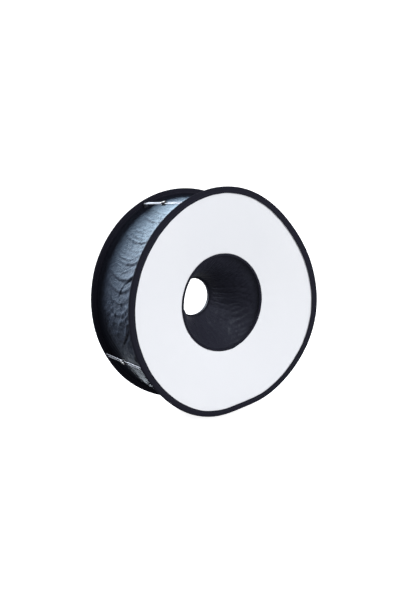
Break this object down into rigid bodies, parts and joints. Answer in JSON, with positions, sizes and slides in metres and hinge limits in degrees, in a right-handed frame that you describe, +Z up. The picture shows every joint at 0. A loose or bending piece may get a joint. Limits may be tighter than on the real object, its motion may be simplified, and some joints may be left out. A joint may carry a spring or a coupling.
{
  "type": "ring flash softbox",
  "caption": "Round collapsible ring softbox for a camera flash: white diffuser with a lens hole, black funnel and drum, folding wire struts, sleeve for the flash.",
  "frame": {"origin": "the middle of the lens collar, on the lens axis", "axes": "+Y along the lens axis from the front diffuser towards the viewer, +Z up with the flash sleeve above the lens, +X to the viewer's right"},
  "size_m": [0.45, 0.1905, 0.45],
  "materials": {
    "spring_steel": "blued, satin",
    "plated_steel": "zinc plated",
    "blackened_steel": "blackened",
    "bright_wire": "polished",
    "bright_metal": "polished",
    "black_plastic": "moulded",
    "binding_tape": "woven tape",
    "black_nylon": "coated, low sheen",
    "silver_cloth": "metallised",
    "diffuser_cloth": "translucent, plain",
    "elastic": "braided",
    "hook_and_loop": "napped"
  },
  "bodies": {
    "rear_frame": {"rear_hoop": "spring_steel", "rear_hoop_ferrule": "plated_steel", "rear_binding": "binding_tape", "rear_panel": "black_nylon", "rear_lining": "silver_cloth", "lens_collar": "black_nylon", "lens_collar_elastic": "elastic", "flash_sleeve": "black_nylon", "flash_strap": "hook_and_loop", "flash_strap_tail": "hook_and_loop", "side_wall": "black_nylon", "side_lining": "silver_cloth", "funnel": "black_nylon", "funnel_lining": "silver_cloth", "rear_strut_brackets": "blackened_steel", "rear_strut_rivets": "bright_metal"},
    "front_frame": {"front_hoop": "spring_steel", "front_hoop_ferrule": "plated_steel", "front_binding": "binding_tape", "front_diffuser": "diffuser_cloth", "hole_hoop": "spring_steel", "hole_hoop_ferrule": "plated_steel", "hole_binding": "binding_tape", "front_strut_brackets": "blackened_steel", "front_strut_rivets": "bright_metal"},
    "strut_1_rear": {"strut_1_rear_link": "bright_wire"},
    "strut_1_middle": {"strut_1_clevis": "bright_metal", "strut_1_knuckle": "black_plastic", "strut_1_pins": "bright_metal"},
    "strut_1_front": {"strut_1_front_link": "bright_wire"},
    "strut_2_rear": {"strut_2_rear_link": "bright_wire"},
    "strut_2_middle": {"strut_2_clevis": "bright_metal", "strut_2_knuckle": "black_plastic", "strut_2_pins": "bright_metal"},
    "strut_2_front": {"strut_2_front_link": "bright_wire"},
    "strut_3_rear": {"strut_3_rear_link": "bright_wire"},
    "strut_3_middle": {"strut_3_clevis": "bright_metal", "strut_3_knuckle": "black_plastic", "strut_3_pins": "bright_metal"},
    "strut_3_front": {"strut_3_front_link": "bright_wire"},
    "strut_4_rear": {"strut_4_rear_link": "bright_wire"},
    "strut_4_middle": {"strut_4_clevis": "bright_metal", "strut_4_knuckle": "black_plastic", "strut_4_pins": "bright_metal"},
    "strut_4_front": {"strut_4_front_link": "bright_wire"}
  },
  "joints": [
    {"name": "collapse", "type": "hinge", "parent": "rear_frame", "child": "strut_1_rear", "pos_m": [-0.10408, 0.0135, 0.19575], "axis": [-0.4695, 0, 0.8829], "range_deg": [0, 73], "deforming": ["side_wall", "side_lining", "funnel", "funnel_lining"]},
    {"name": "strut_1_knuckle_rear", "type": "hinge", "parent": "strut_1_rear", "child": "strut_1_middle", "pos_m": [-0.10408, -0.052, 0.19575], "axis": [-0.4695, 0, 0.8829], "range_deg": [-73, 0]},
    {"name": "strut_1_knuckle_front", "type": "hinge", "parent": "strut_1_middle", "child": "strut_1_front", "pos_m": [-0.10408, -0.062, 0.19575], "axis": [-0.4695, 0, 0.8829], "range_deg": [-73, 0]},
    {"name": "strut_1_front_pivot", "type": "hinge", "parent": "strut_1_front", "child": "front_frame", "pos_m": [-0.10408, -0.1275, 0.19575], "axis": [-0.4695, 0, 0.8829], "range_deg": [0, 73]},
    {"name": "strut_2_rear_pivot", "type": "hinge", "parent": "rear_frame", "child": "strut_2_rear", "pos_m": [-0.19575, 0.0135, -0.10408], "axis": [-0.8829, 0, -0.4695], "range_deg": [0, 73]},
    {"name": "strut_2_knuckle_rear", "type": "hinge", "parent": "strut_2_rear", "child": "strut_2_middle", "pos_m": [-0.19575, -0.052, -0.10408], "axis": [-0.8829, 0, -0.4695], "range_deg": [-73, 0]},
    {"name": "strut_2_knuckle_front", "type": "hinge", "parent": "strut_2_middle", "child": "strut_2_front", "pos_m": [-0.19575, -0.062, -0.10408], "axis": [-0.8829, 0, -0.4695], "range_deg": [-73, 0]},
    {"name": "strut_3_rear_pivot", "type": "hinge", "parent": "rear_frame", "child": "strut_3_rear", "pos_m": [0.10408, 0.0135, -0.19575], "axis": [0.4695, 0, -0.8829], "range_deg": [0, 73]},
    {"name": "strut_3_knuckle_rear", "type": "hinge", "parent": "strut_3_rear", "child": "strut_3_middle", "pos_m": [0.10408, -0.052, -0.19575], "axis": [0.4695, 0, -0.8829], "range_deg": [-73, 0]},
    {"name": "strut_3_knuckle_front", "type": "hinge", "parent": "strut_3_middle", "child": "strut_3_front", "pos_m": [0.10408, -0.062, -0.19575], "axis": [0.4695, 0, -0.8829], "range_deg": [-73, 0]},
    {"name": "strut_4_rear_pivot", "type": "hinge", "parent": "rear_frame", "child": "strut_4_rear", "pos_m": [0.19575, 0.0135, 0.10408], "axis": [0.8829, 0, 0.4695], "range_deg": [0, 73]},
    {"name": "strut_4_knuckle_rear", "type": "hinge", "parent": "strut_4_rear", "child": "strut_4_middle", "pos_m": [0.19575, -0.052, 0.10408], "axis": [0.8829, 0, 0.4695], "range_deg": [-73, 0]},
    {"name": "strut_4_knuckle_front", "type": "hinge", "parent": "strut_4_middle", "child": "strut_4_front", "pos_m": [0.19575, -0.062, 0.10408], "axis": [0.8829, 0, 0.4695], "range_deg": [-73, 0]}
  ],
  "couplings": [
    {"joint": "strut_1_knuckle_rear", "follows": "collapse", "ratio": -1},
    {"joint": "strut_1_knuckle_front", "follows": "collapse", "ratio": -1},
    {"joint": "strut_1_front_pivot", "follows": "collapse", "ratio": 1},
    {"joint": "strut_2_rear_pivot", "follows": "collapse", "ratio": 1},
    {"joint": "strut_2_knuckle_rear", "follows": "collapse", "ratio": -1},
    {"joint": "strut_2_knuckle_front", "follows": "collapse", "ratio": -1},
    {"joint": "strut_3_rear_pivot", "follows": "collapse", "ratio": 1},
    {"joint": "strut_3_knuckle_rear", "follows": "collapse", "ratio": -1},
    {"joint": "strut_3_knuckle_front", "follows": "collapse", "ratio": -1},
    {"joint": "strut_4_rear_pivot", "follows": "collapse", "ratio": 1},
    {"joint": "strut_4_knuckle_rear", "follows": "collapse", "ratio": -1},
    {"joint": "strut_4_knuckle_front", "follows": "collapse", "ratio": -1}
  ]
}
